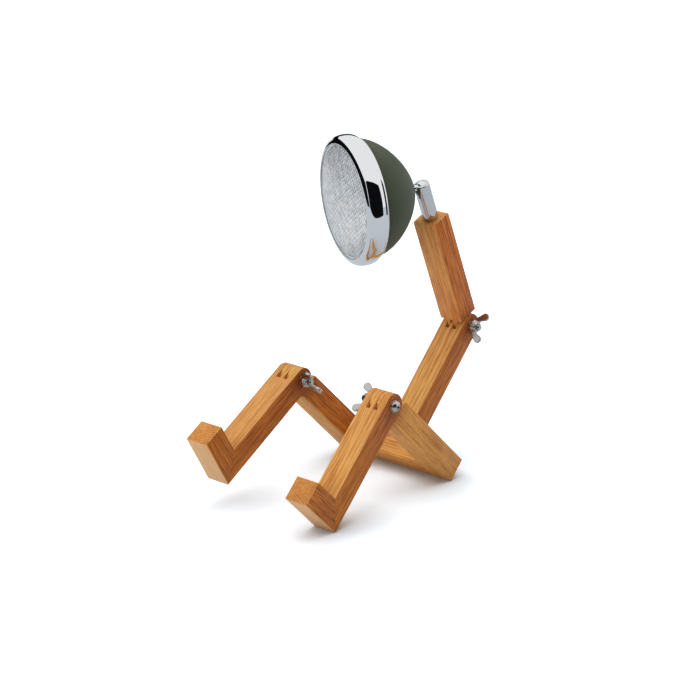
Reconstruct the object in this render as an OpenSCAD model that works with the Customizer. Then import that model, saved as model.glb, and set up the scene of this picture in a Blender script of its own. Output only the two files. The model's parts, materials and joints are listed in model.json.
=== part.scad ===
// Sitting wooden figure that carries a round headlamp: a desk lamp.
// Millimetres. +Z is up, the figure faces -Y and its left side is +X.
// The origin is on the floor, at the middle of the rear edge that the lamp sits on.

/* [Wood] */
// Width of every beam, across the figure
beam_w = 22; // [20:1:26]
// Depth of every beam
beam_d = 20; // [18:1:24]
// Knee pin to the rear end of a thigh
thigh_len = 111; // [92:0.1:134]
// Knee pin to the sole
shin_len = 108; // [100:1:130]
// Toe in front of the shin
toe_len = 26; // [20:1:36]
// Clear gap between the thighs
hip_gap = 72; // [60:1:90]
// Top of the hip bar to the waist pin
lower_torso_len = 111; // [92:1:134]
// Waist pin to the top of the torso
upper_torso_len = 108; // [90:1:130]
// Diameter of the wooden dowels
dowel_d = 6; // [5:0.5:7]
// Length of a hip or torso dowel
dowel_len = 30; // [24:1:36]

/* [Pose] */
// Rise of the thighs above the floor, in degrees
seat_pitch = 43.7; // [40:0.1:46]
// Forward swing of the raised right shin from vertical, in degrees
right_swing = 59.5; // [46:0.5:75]
// Forward lean of the upper torso from vertical, in degrees
waist_lean = 22.8; // [0:0.1:28]
// Turn of the head towards the figure's right, in degrees
head_turn = 27; // [-60:1:60]
// Angle between the neck tube and the head's axis, in degrees
head_tilt = 74; // [50:1:90]
// Turn of the left knee's wing nut, in degrees
left_wing_turn = 0; // [0:1:180]
// Turn of the right knee's wing nut, in degrees
right_wing_turn = 82; // [0:1:180]
// Turn of the waist's wing nut, in degrees
waist_wing_turn = 55; // [0:1:180]

/* [Lap joints] */
// Thickness of each outer finger
outer_finger = 5.5; // [5:0.1:6]
// Thickness of each tongue
tongue_t = 3.6; // [3:0.1:3.8]
// Side clearance of a tongue in its slot
lap_gap = 0.1; // [0.05:0.05:0.3]
// Gap between a rounded end and the shoulder that faces it
shoulder_gap = 0.4; // [0.3:0.1:1]

/* [Fasteners] */
// Diameter of the pivot screws
screw_d = 5; // [4:0.5:6]
// Radial clearance of a turning fit
turn_fit = 0.05; // [0.02:0.01:0.1]
// Diameter of a pivot screw's pan head
screw_head_d = 9.5; // [8:0.5:12]
// Height of a pivot screw's pan head
screw_head_h = 3.7; // [2.8:0.1:4.6]
// Diameter of a pivot washer
washer_d = 10; // [9:0.5:13]
// Thickness of a pivot washer
washer_t = 1; // [0.8:0.1:1.4]
// Span of a wing nut over both wings
wing_span = 26; // [21:1:32]
// Height of a wing nut
wing_h = 13; // [10.6:0.2:16]
// Thickness of a wing
wing_t = 2.2; // [1.6:0.1:3]
// Diameter of a wing nut's hub
hub_d = 11; // [9:0.5:13]
// Height of a wing nut's hub
hub_h = 6; // [5:0.2:7.4]
// Screw thread that stands proud of a wing nut's hub
thread_proud = 2.4; // [1:0.2:4]

/* [Neck] */
// Outer diameter of the neck tube
tube_d = 13; // [12.5:0.5:15]
// Length of the neck tube
tube_len = 33.5; // [33:0.1:34]
// Diameter of the ball
ball_d = 10; // [9:0.2:10.4]
// Ball centre above the torso's top face
ball_height = 30; // [29.5:0.1:30.5]
// Diameter of the stem
stem_d = 5; // [4:0.5:5]
// Side clearance of the stem in its slot
slot_gap = 0.3; // [0.2:0.1:0.6]
// Diameter of the swivel stud under the tube
stud_d = 6; // [5:0.5:7]
// Length of the threaded insert in the torso
insert_len = 14; // [10:1:20]
// Outer diameter of the threaded insert
insert_d = 9; // [8.5:0.5:11]

/* [Head] */
// Radius of the painted shell at its mouth
shell_r = 48; // [42:1:56]
// Depth of the painted shell, apex to mouth
shell_len = 42; // [38:1:50]
// Wall of the painted shell
shell_wall = 1.2; // [0.8:0.1:2]
// Ball centre to the shell's apex
apex_gap = 8.5; // [8.2:0.1:10]
// Chrome rim's greatest radius beyond the shell's
rim_over = 5; // [4:0.5:6]
// Wall of the chrome rim
rim_wall = 1.2; // [0.8:0.1:1.6]
// Rise of the lens dome above its rim
lens_rise = 5.8; // [4:0.2:9]
// Thickness of the lens
lens_t = 3; // [2:0.2:4]

/* [Light] */
// Radius of the reflector's throat
throat_r = 7.5; // [6.5:0.5:9]
// Radius of the aluminium heat spreader
spreader_r = 19; // [18:0.5:21]
// Radius of the emitter board
emitter_board_r = 14; // [12:0.5:14.5]
// Radius of the dimmer board
dimmer_r = 17; // [16:0.5:18]
// Radius of the cord inlet's bore
inlet_r = 3.25; // [2.5:0.05:3.5]

/* [Hidden] */
$fn = 64;
half_d = beam_d / 2;
half_w = beam_w / 2;
leg_x = (hip_gap + beam_w) / 2;
slot_t = tongue_t + 2 * lap_gap;
mid_finger = beam_w - 2 * outer_finger - 2 * slot_t;
shoulder = half_d + shoulder_gap;
over = 1; // how far a cutter runs past the face it opens

// Places of the pins, measured from the rear bottom edge that the lamp sits on
knee_back = -thigh_len * cos(seat_pitch) + half_d * sin(seat_pitch);
knee_z = thigh_len * sin(seat_pitch) + half_d * cos(seat_pitch);
waist_z = half_d * sin(seat_pitch) + (beam_d + lower_torso_len) * cos(seat_pitch);
waist_back = (beam_d + lower_torso_len) * sin(seat_pitch) - half_d * cos(seat_pitch);
// The left shin swings until its heel touches the floor, or until the knee is closed
heel_reach = sqrt(shin_len * shin_len + half_d * half_d);
knee_stop = 2 * atan2(half_d, shoulder) - 90 + seat_pitch + 0.5;
heel_swing = acos(min(1, knee_z / heel_reach)) + atan2(half_d, shin_len);
left_swing = max(knee_stop, heel_swing);
// Stations along the head's axis, measured from the ball's centre
apex_z = apex_gap;
boss_z = apex_z + 1;
boss_t = 2;
mouth_z = apex_z + shell_len;
skirt_len = 7.5;
rim_r = shell_r + rim_over;
band_r = 16.6; // radius of the arc across the rim's broad band
band_turn = 16; // half the angle of that arc
band_z = mouth_z + 9.1;
lip_r = 6.2; // radius of the arc that rolls over to the lens
bead_r = 2.1;
bead_z = mouth_z + 2.5;
lip_z = band_z + (band_r - lip_r) * sin(band_turn);
lip_in_r = rim_r - band_r + (band_r - lip_r) * cos(band_turn);
lip_front = lip_z + lip_r;
gasket_t = 0.45;
gasket_w = 1;
lens_r = lip_in_r - 0.4;
lens_edge_z = lip_front - rim_wall - gasket_t - 0.1;
lens_flange_r = lip_in_r + 1.8;
lens_flange_t = 2.6;
dome_z = lip_front - 0.3;
dome_r = (lens_r * lens_r + lens_rise * lens_rise) / (2 * lens_rise);
flange_z = lens_edge_z - lens_flange_t; // front of the reflector's flange
reflector_t = 1;
retainer_t = 1;
bowl_r = lens_flange_r - 3.8;
stem_washer_t = 1;
stem_nut_h = 4;
stem_end = boss_z + boss_t + stem_washer_t + stem_nut_h + 1.8;
// The dimmer board stands clear of the stem's end, and the rest of the light stands on it
dimmer_t = 1.6;
standoff_len = 2.8;
dimmer_z = stem_end + 1.3;
spreader_t = 3;
spreader_z = dimmer_z + dimmer_t + standoff_len;
throat_z = spreader_z + 5.5;
bowl_k = (bowl_r * bowl_r - throat_r * throat_r) / (flange_z - reflector_t - throat_z);
base_t = 2.5; // reflector's base flange
base_z = throat_z - 1;
recess_z = spreader_z + spreader_t;
emitter_board_t = 1.2;
standoff_at = 14;
spreader_screw_at = 17;
inlet_z = mouth_z - 20.5;
inlet_turn = 215;
inlet_pad_d = 14;
inlet_pad_in = 2.2;
inlet_pad_out = 0.3;
inlet_thread_d = 9;
inlet_flange_d = 13;
inlet_flange_t = 2.5;
inlet_tail = 6.5;

wood = [0.76, 0.47, 0.24];
end_wood = [0.66, 0.38, 0.19];
chrome = [0.82, 0.83, 0.85];
steel = [0.68, 0.68, 0.70];
brass = [0.78, 0.62, 0.32];
green = [0.27, 0.29, 0.21];
board_green = [0.10, 0.35, 0.20];

// ---- Frames: each puts its children where the figure's pose has them ----

// Origin on the edge the lamp sits on, +Z up the lower torso, -Y along the thighs
module pelvis() {
    rotate([-seat_pitch, 0, 0]) children();
}

// Origin on a knee pin, -Z down the shin and -Y towards the toe
module knee(side) {
    translate([side * leg_x, knee_back, knee_z])
        rotate([side > 0 ? -left_swing : -right_swing, 0, 0]) children();
}

// Origin on the waist pin, +Z up the upper torso
module waist() {
    translate([0, waist_back, waist_z]) rotate([waist_lean, 0, 0]) children();
}

// Origin at the foot of the neck tube, whose slot faces -Y
module neck() {
    waist() translate([0, 0, upper_torso_len]) rotate([0, 0, -head_turn]) children();
}

// Origin on the ball's centre, +Z along the head's axis, +Y upwards
module head() {
    neck() translate([0, 0, ball_height]) rotate([head_tilt, 0, 0]) children();
}

// Turns +Z to the outer side of a pivot: +X for side 1, -X for side -1
module across(side) {
    rotate([0, side * 90, 0]) children();
}

// ---- Wood ----

// Extrudes an outline drawn in Y and Z across the figure
module across_beam(width) {
    rotate([90, 0, 90]) linear_extrude(width, center = true) children();
}

// What is cut from a beam's end: the slots between three fingers, or all but two tongues
module lap_cuts(tongues) {
    tongue_in = mid_finger / 2 + lap_gap;
    cuts = tongues
        ? [[-tongue_in, tongue_in],
           [tongue_in + tongue_t, half_w + over],
           [-half_w - over, -tongue_in - tongue_t]]
        : [[mid_finger / 2, mid_finger / 2 + slot_t],
           [-mid_finger / 2 - slot_t, -mid_finger / 2]];
    for (cut = cuts)
        translate([cut[0], -beam_d, -shoulder])
            cube([cut[1] - cut[0], 2 * beam_d, shoulder + beam_d]);
}

// A beam that hangs down from its pin at the origin, with a lap end around the pin
module lap_beam(length, tongues) {
    difference() {
        across_beam(beam_w) {
            translate([-half_d, -length]) square([beam_d, length]);
            circle(d = beam_d);
        }
        lap_cuts(tongues);
        rotate([0, 90, 0])
            cylinder(r = screw_d / 2 + turn_fit, h = beam_w + 2 * over, center = true);
    }
}

// Two dowels in each end of the hip bar
module hip_dowel_set() {
    for (side = [-1, 1], step = [-1, 1])
        translate([side * hip_gap / 2, -half_d + step * beam_d / 5, half_d + step * beam_d / 5])
            rotate([0, 90, 0]) cylinder(d = dowel_d, h = dowel_len, center = true);
}

// Two dowels between the hip bar and the lower torso
module torso_dowel_set() {
    for (side = [-1, 1])
        translate([side * beam_w / 4, -half_d, beam_d + dowel_len / 2 - beam_d / 2])
            cylinder(d = dowel_d, h = dowel_len, center = true);
}

module foot_dowel_shape() {
    translate([0, 0, half_d - shin_len]) rotate([-45, 0, 0])
        cylinder(d = dowel_d, h = 0.9 * beam_d, center = true);
}

module hip_bar() {
    color(wood) pelvis() difference() {
        translate([-hip_gap / 2, -beam_d, 0]) cube([hip_gap, beam_d, beam_d]);
        hip_dowel_set();
        torso_dowel_set();
    }
}

module thigh(side) {
    color(wood) pelvis() difference() {
        translate([side * leg_x, -thigh_len, half_d]) rotate([90, 0, 0])
            lap_beam(thigh_len, true);
        hip_dowel_set();
    }
}

module lower_torso() {
    color(wood) pelvis() difference() {
        translate([0, -half_d, beam_d + lower_torso_len]) lap_beam(lower_torso_len, false);
        torso_dowel_set();
    }
}

module hip_dowels() {
    color(end_wood) pelvis() hip_dowel_set();
}

module torso_dowels() {
    color(end_wood) pelvis() torso_dowel_set();
}

// The shin and the foot meet on a mitre from the instep to the heel
module shin(side) {
    instep = beam_d - shin_len;
    color(wood) knee(side) difference() {
        lap_beam(shin_len, false);
        across_beam(beam_w + 2 * over)
            polygon([[-half_d - over, instep + over], [half_d + over, -shin_len - over],
                     [-half_d - over, -shin_len - over]]);
        foot_dowel_shape();
    }
}

module foot(side) {
    instep = beam_d - shin_len;
    toe = -half_d - toe_len;
    color(wood) knee(side) difference() {
        across_beam(beam_w)
            polygon([[-half_d, instep], [toe, instep], [toe, -shin_len], [half_d, -shin_len]]);
        foot_dowel_shape();
    }
}

module foot_dowel(side) {
    color(end_wood) knee(side) foot_dowel_shape();
}

module upper_torso() {
    color(wood) waist() difference() {
        rotate([180, 0, 0]) lap_beam(upper_torso_len, true);
        translate([0, 0, upper_torso_len - insert_len]) cylinder(d = insert_d, h = insert_len + over);
    }
}

// ---- Pivot screws, drawn with their head towards +Z and the beam's middle at the origin ----

module pivot_screw() {
    seat = half_w + washer_t;
    edge_h = screw_head_h * 0.3;
    crown = screw_head_h - edge_h;
    crown_r = (screw_head_d * screw_head_d / 4 + crown * crown) / (2 * crown);
    recess = 0.45 * screw_head_d;
    difference() {
        union() {
            translate([0, 0, -seat - hub_h - thread_proud])
                cylinder(d = screw_d, h = 2 * seat + hub_h + thread_proud);
            translate([0, 0, seat]) cylinder(d = screw_head_d, h = edge_h);
            intersection() {
                translate([0, 0, seat + screw_head_h - crown_r]) sphere(r = crown_r);
                translate([0, 0, seat + edge_h]) cylinder(d = screw_head_d, h = crown);
            }
        }
        for (turn = [20, 110])
            translate([0, 0, seat + screw_head_h]) rotate([0, 0, turn])
                cube([recess, screw_d / 4, screw_head_h], center = true);
    }
}

module pivot_washers() {
    for (side = [-1, 1])
        translate([0, 0, side * (half_w + washer_t / 2)]) difference() {
            cylinder(d = washer_d, h = washer_t, center = true);
            cylinder(r = screw_d / 2 + turn_fit, h = washer_t + over, center = true);
        }
}

// One wing: a round ear on a web that leans out from the hub
module wing_outline() {
    ear_d = 0.25 * wing_span;
    translate([wing_span / 2 - ear_d / 2, wing_h - ear_d / 2]) circle(d = ear_d);
    polygon([[screw_d / 2 + 0.8, 0.6], [hub_d / 2 + 0.6, 0.6],
             [wing_span / 2 - 0.1, wing_h - ear_d / 2 - 0.4],
             [wing_span / 2 - ear_d + 0.1, wing_h - ear_d / 2 + 0.4],
             [screw_d / 2 + 0.8, hub_h]]);
}

module pivot_wing_nut(turn) {
    translate([0, 0, -half_w - washer_t]) rotate([180, 0, turn]) difference() {
        union() {
            rotate_extrude() polygon([[0, 0], [hub_d / 2, 0], [hub_d / 2, hub_h * 0.4],
                                      [hub_d / 2 - 0.8, hub_h], [0, hub_h]]);
            for (half_turn = [0, 180])
                rotate([90, 0, half_turn]) linear_extrude(wing_t, center = true) wing_outline();
        }
        translate([0, 0, -over]) cylinder(r = screw_d / 2 + turn_fit, h = wing_h + 2 * over);
    }
}

module knee_screw(side) {
    color(steel) knee(side) across(side) pivot_screw();
}

module knee_washers(side) {
    color(steel) knee(side) across(side) pivot_washers();
}

module knee_wing_nut(side) {
    turn = side > 0 ? left_wing_turn : right_wing_turn;
    color(steel) knee(side) across(side) pivot_wing_nut(turn);
}

module waist_screw() {
    color(steel) waist() across(-1) pivot_screw();
}

module waist_washers() {
    color(steel) waist() across(-1) pivot_washers();
}

module waist_wing_nut() {
    color(steel) waist() across(-1) pivot_wing_nut(waist_wing_turn);
}

// ---- Neck ----

plug_h = 15;
cup_z = 21;
cup_top = ball_height - 3.6;
spring_count = 4;

module ring(inner_r, outer_r, height) {
    rotate_extrude() translate([inner_r, 0]) square([outer_r - inner_r, height]);
}

module neck_insert() {
    color(brass) waist() translate([0, 0, upper_torso_len - insert_len])
        ring(stud_d / 2 + turn_fit, insert_d / 2, insert_len);
}

// The plug closes the tube and carries the stud that the neck swivels on
module neck_plug() {
    color(steel) neck() {
        cylinder(d = ball_d, h = plug_h);
        translate([0, 0, 1 - insert_len]) cylinder(d = stud_d, h = insert_len);
    }
}

// The tube's upper end closes over the ball, and its slot lets the stem tilt
module neck_tube() {
    slot_r = stem_d / 2 + slot_gap;
    slot_z = ball_height - 1;
    color(chrome) neck() difference() {
        cylinder(d = tube_d, h = tube_len);
        translate([0, 0, -over]) cylinder(r = ball_d / 2 + turn_fit, h = ball_height + over);
        translate([0, 0, ball_height]) sphere(r = ball_d / 2 + turn_fit);
        translate([-slot_r, -tube_d, slot_z]) cube([2 * slot_r, tube_d, tube_len]);
        translate([0, 0, slot_z]) rotate([90, 0, 0]) cylinder(r = slot_r, h = tube_d);
    }
}

// Coned washers, stacked face to face, press the cup against the ball
module disc_springs() {
    pitch = (cup_z - plug_h) / spring_count;
    thick = 0.5 * pitch;
    rise = pitch - thick - 0.04;
    outer = ball_d / 2 - 0.1;
    inner = ball_d / 4;
    color(steel) neck() for (i = [0 : spring_count - 1])
        translate([0, 0, plug_h + i * pitch + 0.02]) rotate_extrude()
            polygon(i % 2 == 0
                ? [[inner, rise], [outer, 0], [outer, thick], [inner, thick + rise]]
                : [[inner, 0], [outer, rise], [outer, thick + rise], [inner, thick]]);
}

module ball_cup() {
    color("ivory") neck() difference() {
        translate([0, 0, cup_z]) cylinder(d = ball_d, h = cup_top - cup_z);
        translate([0, 0, ball_height]) sphere(r = ball_d / 2 + turn_fit);
    }
}

module ball_stud() {
    collar_h = 1.7;
    color(chrome) head() {
        sphere(d = ball_d);
        cylinder(d = stem_d, h = stem_end);
        translate([0, 0, boss_z - collar_h]) cylinder(d = 1.6 * stem_d, h = collar_h);
    }
}

module stem_washer() {
    rub = 0.02;
    color(steel) head() translate([0, 0, boss_z + boss_t + rub])
        ring(stem_d / 2 + 2 * turn_fit, stem_d, stem_washer_t - rub);
}

module stem_nut() {
    color(steel) head() translate([0, 0, boss_z + boss_t + stem_washer_t]) difference() {
        cylinder(r = 0.92 * stem_d, h = stem_nut_h, $fn = 6);
        translate([0, 0, -over]) cylinder(r = stem_d / 2 + turn_fit, h = stem_nut_h + 2 * over);
    }
}

// ---- Head: stations run from the ball's centre along +Z ----

// Radius of a bullet-shaped bowl of mouth radius r and depth d, at depth share s
function bowl(r, s) = r * pow(max(0, 1 - pow(s, 1.6)), 0.64);
function bowl_at(r, d, z) = bowl(r, (mouth_z - z) / d);
// Depth shares that crowd towards the apex, where the bowl curves most
function shares(last, steps) = [for (i = [0 : steps]) last * (1 - pow(1 - i / steps, 1.7))];
function arc(cx, cy, r, from, to, steps) =
    [for (i = [0 : steps]) let (a = from + (to - from) * i / steps) [cx + r * cos(a), cy + r * sin(a)]];
// The reflector's parabola: station at a radius, and radius at a station
function bowl_depth(r) = throat_z + (r * r - throat_r * throat_r) / bowl_k;
function bowl_at_depth(z) = sqrt(throat_r * throat_r + bowl_k * (z - throat_z));
function reversed(list) = [for (i = [len(list) - 1 : -1 : 0]) list[i]];

inlet_slope = atan2(bowl_at(shell_r, shell_len, inlet_z + 1) - bowl_at(shell_r, shell_len, inlet_z - 1), 2);

// Origin on the shell's surface, +Z pointing out along the cord inlet
module inlet() {
    head() rotate([0, 0, inlet_turn])
        translate([bowl_at(shell_r, shell_len, inlet_z), 0, inlet_z])
            rotate([0, 90 + inlet_slope, 0]) children();
}

// Origin on the rim's bead at the bottom of the head, +Z pointing out
module rim_bottom() {
    head() translate([0, -shell_r, bead_z]) rotate([90, 0, 0]) children();
}

module head_shell() {
    steps = 20;
    in_r = shell_r - shell_wall;
    in_len = shell_len - shell_wall;
    outer = [for (s = shares((mouth_z - boss_z) / shell_len, steps))
        [bowl(shell_r, s), mouth_z - s * shell_len]];
    inner = [for (s = shares((mouth_z - boss_z - boss_t) / in_len, steps))
        [bowl(in_r, s), mouth_z - s * in_len]];
    color(green) difference() {
        union() {
            head() rotate_extrude($fn = 96)
                polygon(concat([[0, boss_z]], reversed(outer), [[shell_r, mouth_z + skirt_len]],
                               [[in_r, mouth_z + skirt_len]], inner, [[0, boss_z + boss_t]]));
            inlet() translate([0, 0, -inlet_pad_in])
                cylinder(d = inlet_pad_d, h = inlet_pad_in + inlet_pad_out);
        }
        head() cylinder(r = stem_d / 2 + turn_fit, h = boss_z + boss_t + over);
        inlet() cylinder(d = inlet_thread_d + 2 * turn_fit, h = 3 * inlet_pad_in, center = true);
        rim_bottom() cylinder(d = 3, h = 4 * shell_wall, center = true);
    }
}

// A narrow bead, then a broad band that rolls over to the lens
module chrome_rim() {
    fit_r = shell_r + 0.1;
    band_c = rim_r - band_r;
    bead_end = 38;
    band_start = bead_z + bead_r * cos(bead_end);
    in_start = asin((band_start + rim_wall - band_z) / (band_r - rim_wall));
    outer = concat(
        [[fit_r, bead_z - bead_r]],
        [for (p = arc(bead_z, fit_r + 0.5, bead_r, 180, bead_end, 8)) [p[1], p[0]]],
        [for (p = arc(band_z, band_c, band_r, 90 + asin((band_z - band_start) / band_r), 90 - band_turn, 8))
            [p[1], p[0]]],
        [for (p = arc(lip_z, lip_in_r, lip_r, 90 - band_turn, 0, 8)) [p[1], p[0]]]);
    inner = concat(
        [for (p = arc(lip_z, lip_in_r, lip_r - rim_wall, 0, 90 - band_turn, 8)) [p[1], p[0]]],
        [for (p = arc(band_z, band_c, band_r - rim_wall, 90 - band_turn, 90 - in_start, 8))
            [p[1], p[0]]],
        [[fit_r, band_start + rim_wall]]);
    color(chrome) difference() {
        head() rotate_extrude($fn = 128) polygon(concat(outer, inner));
        rim_bottom() cylinder(d = 3, h = 4 * bead_r, center = true);
    }
}

// Grub screw that holds the rim on the shell's skirt
module rim_screw() {
    color(steel) rim_bottom() difference() {
        translate([0, 0, -2]) cylinder(d = 3, h = 4);
        translate([0, 0, 1]) cylinder(d = 1.5, h = 2, $fn = 6);
    }
}

module lens_gasket() {
    color("dimgray") head() translate([0, 0, lens_edge_z])
        ring(lip_in_r - 0.1, lip_in_r - 0.1 + gasket_w, gasket_t);
}

module lens() {
    dome_c = dome_z + lens_rise - dome_r;
    in_r = dome_r - lens_t;
    foot_r = lens_r - 2;
    outer_turn = asin(lens_r / dome_r);
    inner_turn = asin(foot_r / in_r);
    color([0.8, 0.83, 0.84, 0.5]) head() rotate_extrude($fn = 128)
        polygon(concat(
            arc(0, dome_c, dome_r, 90, 90 - outer_turn, 12),
            [[lens_r, lens_edge_z], [lens_flange_r, lens_edge_z],
             [lens_flange_r, flange_z], [foot_r, flange_z]],
            arc(0, dome_c, in_r, 90 - inner_turn, 90, 12)));
}

// A parabolic bowl with a flange behind the lens and a thick base for its screws
module reflector() {
    steps = 14;
    back_z = flange_z - reflector_t;
    base_top = base_z + base_t;
    base_r = bowl_at_depth(base_top);
    radii = [for (i = [0 : steps]) throat_r + (bowl_r - throat_r) * i / steps];
    wall_radii = [for (i = [steps : -1 : 0]) base_r + (bowl_r - base_r) * i / steps];
    color("gainsboro") head() difference() {
        rotate_extrude($fn = 96) polygon(concat(
            [[throat_r, base_z]],
            [for (r = radii) [r, bowl_depth(r)]],
            [[bowl_r, flange_z], [lens_flange_r, flange_z], [lens_flange_r, back_z]],
            [for (r = wall_radii) [r + reflector_t, bowl_depth(r)]],
            [[spreader_r, base_top], [spreader_r, base_z]]));
        for (turn = [0, 120, 240])
            rotate([0, 0, turn]) translate([spreader_screw_at, 0, base_z - over])
                cylinder(d = 2.5, h = base_t + 2 * over);
    }
}

// Sheet ring that holds the lens and the reflector in the rim
module lens_retainer() {
    color(steel) head() translate([0, 0, flange_z - reflector_t - retainer_t])
        ring(lens_flange_r - 1.4, lens_flange_r + 3, retainer_t);
}

module heat_spreader() {
    color("silver") head() difference() {
        translate([0, 0, spreader_z]) cylinder(r = spreader_r, h = base_z - spreader_z);
        translate([0, 0, recess_z]) cylinder(r = emitter_board_r + 0.1, h = base_z);
        for (turn = [0, 120, 240]) {
            rotate([0, 0, turn]) translate([spreader_screw_at, 0, 0])
                cylinder(d = 2.5, h = base_z + over);
            rotate([0, 0, turn + 60]) translate([standoff_at, 0, 0])
                cylinder(d = 2, h = spreader_z + 2);
        }
    }
}

module spreader_screws() {
    head_h = 1.6;
    color(steel) head() for (turn = [0, 120, 240])
        rotate([0, 0, turn]) translate([spreader_screw_at, 0, spreader_z]) {
            cylinder(d = 2.5, h = base_z + base_t - spreader_z);
            difference() {
                translate([0, 0, -head_h]) cylinder(d = 3.6, h = head_h);
                translate([0, 0, -head_h - over]) cylinder(d = 1.5, h = head_h / 2 + over, $fn = 6);
            }
        }
}

module emitter_board() {
    color("white") head() translate([0, 0, recess_z])
        cylinder(r = emitter_board_r, h = emitter_board_t);
}

// Round emitter under its yellow phosphor dome
module emitter() {
    base_r = throat_r - 1;
    color("khaki") head() translate([0, 0, recess_z + emitter_board_t]) {
        cylinder(r = base_r, h = 0.8);
        intersection() {
            translate([0, 0, -4]) sphere(r = base_r);
            cylinder(r = base_r, h = 6);
        }
    }
}

module dimmer_board() {
    color(board_green) head() difference() {
        translate([0, 0, dimmer_z]) cylinder(r = dimmer_r, h = dimmer_t);
        for (turn = [60, 180, 300])
            rotate([0, 0, turn]) translate([standoff_at, 0, dimmer_z - over])
                cylinder(d = 2, h = dimmer_t + 2 * over);
    }
}

// Parts on the back of the dimmer board: a capacitor, a coil and the touch controller
module dimmer_parts() {
    color("black") head() {
        rotate([0, 0, 30]) translate([9.5, 0, dimmer_z - 5]) cylinder(d = 5, h = 5);
        rotate([0, 0, 120]) translate([9.5, 0, dimmer_z - 3.5]) cylinder(d = 6, h = 3.5);
        rotate([0, 0, 320]) translate([7, -2.5, dimmer_z - 1.2]) cube([4, 5, 1.2]);
    }
}

// Two-way terminal that takes the supply cord's cores
module terminal_block() {
    color("white") head() rotate([0, 0, inlet_turn]) translate([7.5, -4, dimmer_z - 4])
        difference() {
            cube([5, 8, 4]);
            for (side = [-1, 1])
                translate([2.5, 4 + side * 2, 1.8]) rotate([0, 90, 0]) cylinder(d = 1.8, h = 6);
        }
}

module board_standoffs() {
    color(brass) head() for (turn = [60, 180, 300])
        rotate([0, 0, turn]) translate([standoff_at, 0, 0]) {
            translate([0, 0, dimmer_z + dimmer_t])
                cylinder(r = 2, h = standoff_len, $fn = 6);
            translate([0, 0, dimmer_z - 1]) cylinder(d = 2, h = dimmer_t + standoff_len + 3);
            translate([0, 0, dimmer_z - 1.6]) cylinder(r = 1.9, h = 1.6, $fn = 6);
        }
}

// Straight wire from the dimmer board's edge to the retainer, so that the chrome rim is the touch switch
module touch_lead() {
    lead_r = 0.5;
    start = [dimmer_r + lead_r, dimmer_z];
    end = [lens_flange_r - 0.6, flange_z - reflector_t - retainer_t];
    run = end - start;
    color("firebrick") head() rotate([0, 0, 90]) translate([start[0], 0, start[1]])
        rotate([0, atan2(run[0], run[1]), 0])
            cylinder(r = lead_r, h = norm(run) - lead_r * run[0] / run[1]);
}

// Bush that the supply cord would leave through
module cord_inlet() {
    color("black") inlet() difference() {
        union() {
            translate([0, 0, inlet_pad_out]) cylinder(d = inlet_flange_d, h = inlet_flange_t);
            translate([0, 0, -inlet_tail]) cylinder(d = inlet_thread_d, h = inlet_tail + inlet_flange_t);
        }
        cylinder(r = inlet_r, h = 4 * inlet_tail, center = true);
    }
}

module inlet_nut() {
    nut_h = 3;
    color("black") inlet() translate([0, 0, -inlet_pad_in - nut_h]) difference() {
        cylinder(d = inlet_flange_d, h = nut_h, $fn = 6);
        translate([0, 0, -over])
            cylinder(d = inlet_thread_d + 2 * turn_fit, h = nut_h + 2 * over);
    }
}

hip_bar();
thigh(1);  // left_thigh
thigh(-1);  // right_thigh
lower_torso();
hip_dowels();
torso_dowels();
waist_screw();
waist_washers();
waist_wing_nut();
shin(1);  // left_shin
foot(1);  // left_foot
foot_dowel(1);  // left_foot_dowel
knee_screw(1);  // left_knee_screw
knee_washers(1);  // left_knee_washers
knee_wing_nut(1);  // left_knee_wing_nut
shin(-1);  // right_shin
foot(-1);  // right_foot
foot_dowel(-1);  // right_foot_dowel
knee_screw(-1);  // right_knee_screw
knee_washers(-1);  // right_knee_washers
knee_wing_nut(-1);  // right_knee_wing_nut
upper_torso();
neck_insert();
neck_plug();
neck_tube();
disc_springs();
ball_cup();
ball_stud();
stem_washer();
stem_nut();
head_shell();
chrome_rim();
rim_screw();
lens_gasket();
lens();
reflector();
lens_retainer();
heat_spreader();
spreader_screws();
emitter_board();
emitter();
dimmer_board();
dimmer_parts();
terminal_block();
board_standoffs();
touch_lead();
cord_inlet();
inlet_nut();
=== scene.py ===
import json
import math

import bmesh
import bpy
from mathutils import Matrix, Vector

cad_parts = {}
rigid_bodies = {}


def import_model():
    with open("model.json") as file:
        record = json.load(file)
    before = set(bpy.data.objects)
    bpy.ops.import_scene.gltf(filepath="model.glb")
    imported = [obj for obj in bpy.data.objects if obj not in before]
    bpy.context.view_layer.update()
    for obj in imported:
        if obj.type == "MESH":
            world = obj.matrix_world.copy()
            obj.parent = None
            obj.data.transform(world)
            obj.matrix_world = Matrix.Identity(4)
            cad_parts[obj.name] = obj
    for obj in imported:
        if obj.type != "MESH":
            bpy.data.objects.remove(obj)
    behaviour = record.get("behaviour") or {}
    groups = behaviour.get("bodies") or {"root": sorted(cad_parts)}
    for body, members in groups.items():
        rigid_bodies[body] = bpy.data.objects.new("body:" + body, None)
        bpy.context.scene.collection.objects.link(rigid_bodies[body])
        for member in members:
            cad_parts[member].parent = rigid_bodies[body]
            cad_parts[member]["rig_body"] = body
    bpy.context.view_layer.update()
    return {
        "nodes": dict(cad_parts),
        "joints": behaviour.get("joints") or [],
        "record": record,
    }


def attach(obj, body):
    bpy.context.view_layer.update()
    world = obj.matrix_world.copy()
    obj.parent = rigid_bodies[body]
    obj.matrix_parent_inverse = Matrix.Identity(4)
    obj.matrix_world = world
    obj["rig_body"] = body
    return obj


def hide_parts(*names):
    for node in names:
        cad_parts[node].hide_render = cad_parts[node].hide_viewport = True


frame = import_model()
mm = 0.001

joints = {joint["name"]: joint for joint in frame["joints"]}
mounts = {mount["name"]: mount for mount in frame["record"]["mounts"]}
bodyOf = {name: node["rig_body"] for name, node in frame["nodes"].items()}


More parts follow.
